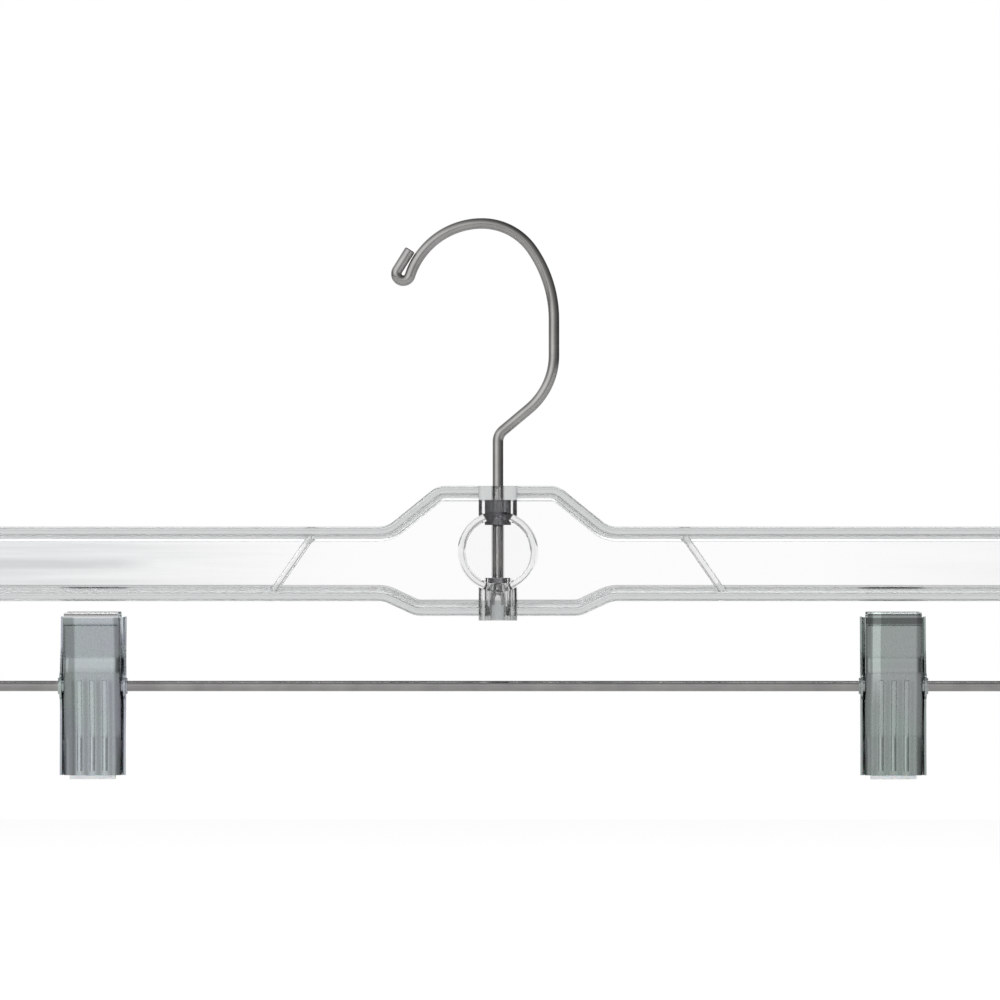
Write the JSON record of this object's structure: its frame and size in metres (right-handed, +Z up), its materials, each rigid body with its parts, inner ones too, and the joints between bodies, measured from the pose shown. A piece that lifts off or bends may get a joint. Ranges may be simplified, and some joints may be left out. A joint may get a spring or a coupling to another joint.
{
  "type": "skirt hanger",
  "caption": "Clear plastic skirt hanger with a swivelling wire hook, a steel rod under the bar and sprung metal clips that slide along the rod.",
  "frame": {"origin": "rail seat: lowest point of the inside of the hook's crown", "axes": "+X along the bar to the right as seen from the front, +Y to the back, +Z up"},
  "size_m": [0.3556, 0.025, 0.187],
  "materials": {
    "clear_plastic": "clear injection-moulded polystyrene, polished, with flow haze near the ends",
    "hook_wire": "drawn steel wire, bright nickel plate",
    "steel": "turned steel, blackened",
    "rod_steel": "drawn steel rod, bright nickel plate",
    "clip_steel": "pressed sheet steel, bright zinc plate",
    "pad": "soft moulded vinyl, satin",
    "spring_wire": "spring steel wire"
  },
  "bodies": {
    "hook": {"hook": "hook_wire", "hook_washer": "steel"},
    "frame": {"body": "clear_plastic", "hook_bushing": "steel", "rod": "rod_steel"},
    "left_tube": {"left_hinge_tube": "clip_steel"},
    "left_rear": {"left_rear_jaw": "clip_steel", "left_rear_pad": "pad", "left_spring": "spring_wire"},
    "left_front": {"left_front_jaw": "clip_steel", "left_front_pad": "pad"},
    "right_tube": {"right_hinge_tube": "clip_steel"},
    "right_rear": {"right_rear_jaw": "clip_steel", "right_rear_pad": "pad", "right_spring": "spring_wire"},
    "right_front": {"right_front_jaw": "clip_steel", "right_front_pad": "pad"}
  },
  "joints": [
    {"name": "frame_swivel", "type": "hinge", "parent": "hook", "child": "frame", "pos_m": [0.0053, 0, -0.0857], "axis": [0, 0, 1], "continuous": true},
    {"name": "left_clip_slide", "type": "slide", "parent": "frame", "child": "left_tube", "axis": [1, 0, 0], "range_m": [-0.02285, 0.12325]},
    {"name": "left_clip_swing", "type": "hinge", "parent": "left_tube", "child": "left_rear", "pos_m": [-0.1298, 0, -0.1524], "axis": [1, 0, 0], "range_deg": [-150, 150]},
    {"name": "left_clip_open", "type": "hinge", "parent": "left_rear", "child": "left_front", "pos_m": [-0.1298, 0, -0.1524], "axis": [-1, 0, 0], "range_deg": [0, 34], "stiffness_Nm_per_rad": 0.08, "springref_deg": -28.65, "deforming": ["left_spring"]},
    {"name": "right_clip_slide", "type": "slide", "parent": "frame", "child": "right_tube", "axis": [1, 0, 0], "range_m": [-0.11995, 0.02615]},
    {"name": "right_clip_swing", "type": "hinge", "parent": "right_tube", "child": "right_rear", "pos_m": [0.1371, 0, -0.1524], "axis": [1, 0, 0], "range_deg": [-150, 150]},
    {"name": "right_clip_open", "type": "hinge", "parent": "right_rear", "child": "right_front", "pos_m": [0.1371, 0, -0.1524], "axis": [-1, 0, 0], "range_deg": [0, 34], "stiffness_Nm_per_rad": 0.08, "springref_deg": -28.65, "deforming": ["right_spring"]}
  ]
}
